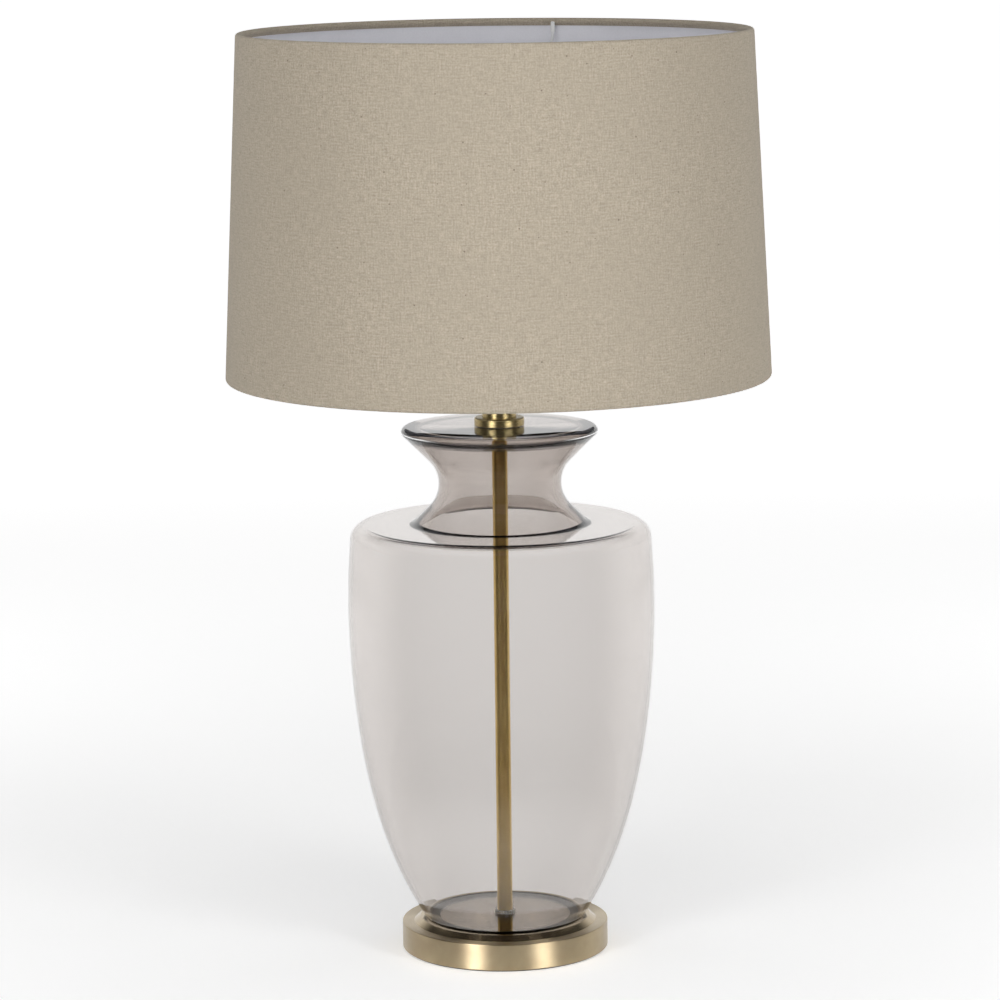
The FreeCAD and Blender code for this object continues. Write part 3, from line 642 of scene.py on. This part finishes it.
def make_camera():
    data = bpy.data.cameras.new("camera")
    data.lens = camera_lens_mm
    data.sensor_width = camera_sensor_mm
    data.clip_end = camera_clip
    camera = bpy.data.objects.new("camera", data)
    bpy.context.scene.collection.objects.link(camera)
    tilt = Matrix.Rotation(math.radians(90 - camera_pitch_deg), 4, "X")
    roll = Matrix.Rotation(math.radians(camera_roll_deg), 4, "Z")
    camera.matrix_world = Matrix.Translation((camera_aside, -camera_distance, camera_height)) @ tilt @ roll
    bpy.context.scene.camera = camera


def make_floor():
    mesh = bmesh.new()
    bmesh.ops.create_grid(mesh, x_segments=1, y_segments=1, size=floor_half_width)
    floor = finish_mesh("studio_floor", mesh)
    material, tree, shader = new_material("studio_white", {
        "Base Color": floor_white, "Roughness": 1.0, "Specular IOR Level": 0.0,
        "Emission Color": (1.0, 1.0, 1.0),
    })
    place = add(tree, "TexCoord").outputs["Object"]
    away = add(tree, "VectorMath", {"operation": "LENGTH"}, {0: place}).outputs["Value"]
    glow = ranged(tree, away, floor_glow_start, floor_glow_end, floor_glow_near, floor_glow_far)
    tree.links.new(calc(tree, "MULTIPLY", glow, seen_ray(tree)), shader.inputs["Emission Strength"])
    # What mirrors the floor sees it end in a dim room, except behind the lamp
    depth = add(tree, "SeparateXYZ", inputs={"Vector": place}).outputs["Y"]
    ahead = ranged(tree, calc(tree, "DIVIDE", depth, away), room_start, room_end, 1.0, 0.0, smooth=True)
    clear = ranged(tree, away, bright_floor_start, bright_floor_end, smooth=True)
    mirrored = calc(tree, "MINIMUM", add(tree, "LightPath").outputs["Glossy Depth"], 1.0)
    room = add(tree, "Emission", inputs={"Color": (1.0, 1.0, 1.0), "Strength": room_light})
    dimmed = calc(tree, "MULTIPLY", calc(tree, "MULTIPLY", ahead, clear), mirrored)
    shown = add(tree, "MixShader", inputs={
        0: dimmed, 1: shader.outputs["BSDF"], 2: room.outputs["Emission"],
    })
    tree.links.new(shown.outputs["Shader"], tree.nodes["Material Output"].inputs["Surface"])
    floor.data.materials.append(material)


def seen_ray(tree):
    """1 for a ray from the camera, or off or through a piece, and 0 for light that reaches a matt surface."""
    ray = add(tree, "LightPath").outputs
    direct = calc(tree, "MAXIMUM", ray["Is Camera Ray"], ray["Is Glossy Ray"])
    return calc(tree, "MAXIMUM", direct, ray["Is Transmission Ray"])


def make_softbox(name, azimuth_deg, low_deg, high_deg, width_deg, matt_power, mirror_power):
    """A soft light that faces the lamp, placed and sized by how it looks from the vase.

    Each part of it is a light of its own: one lights matt surfaces, and one shows only in reflections.
    """
    distance = softbox_distance
    eye = Vector((0, 0, softbox_aim_height))
    a = math.radians(azimuth_deg)
    mid = math.radians((low_deg + high_deg) / 2)
    spot = eye + distance * Vector((math.sin(a) * math.cos(mid), -math.cos(a) * math.cos(mid), math.sin(mid)))
    for part, power in (("matt", matt_power), ("mirror", mirror_power)):
        if not power:
            continue
        data = bpy.data.lights.new(f"{name}_{part}", "AREA")
        data.shape = "RECTANGLE"
        data.size = 2 * distance * math.tan(math.radians(width_deg / 2))
        data.size_y = 2 * distance * math.tan(math.radians((high_deg - low_deg) / 2))
        data.energy = power
        light = bpy.data.objects.new(f"{name}_{part}", data)
        bpy.context.scene.collection.objects.link(light)
        light.visible_diffuse = part == "matt"
        light.visible_glossy = light.visible_transmission = light.visible_camera = part == "mirror"
        light.location = spot
        light.rotation_mode = "QUATERNION"
        light.rotation_quaternion = (spot - eye).to_track_quat("Z", "Y")


def make_world():
    """White near the horizon and a dim ceiling, as metal and glass show them, and a plain soft light.

    What is mirrored also shows a dim room, except behind the lamp.
    """
    world = bpy.data.worlds.new("studio")
    bpy.context.scene.world = world
    world.use_nodes = True
    tree = world.node_tree
    background = tree.nodes["Background"]
    background.inputs["Color"].default_value = (1.0, 1.0, 1.0, 1.0)
    way = add(tree, "TexCoord").outputs["Generated"]
    axes = add(tree, "SeparateXYZ", inputs={"Vector": way}).outputs
    ray = add(tree, "LightPath").outputs
    ceiling = ranged(tree, axes["Z"], ceiling_start, ceiling_end, 1.0, ceiling_light, smooth=True)
    room = ranged(tree, axes["Y"], room_start, room_end, room_light, 1.0, smooth=True)
    mirrored = calc(tree, "MINIMUM", ray["Glossy Depth"], 1.0)
    dimmed = calc(tree, "MULTIPLY", mirrored, calc(tree, "SUBTRACT", 1.0, room))
    shown = calc(tree, "MULTIPLY", ceiling, calc(tree, "SUBTRACT", 1.0, dimmed))
    white = calc(tree, "MAXIMUM", ray["Is Camera Ray"], shown)
    mix = add(tree, "Mix", inputs={0: seen_ray(tree), 2: ambient_light, 3: white}).outputs[0]
    tree.links.new(mix, background.inputs["Strength"])


bpy.context.scene.view_settings.view_transform = "Standard"

finishes = dress_nodes()
make_glass(finishes["smoke_glass"])
make_fabric(finishes["shade_linen"])

make_camera()
make_floor()
for light_name, look in softboxes.items():
    make_softbox(light_name, *look)
make_world()
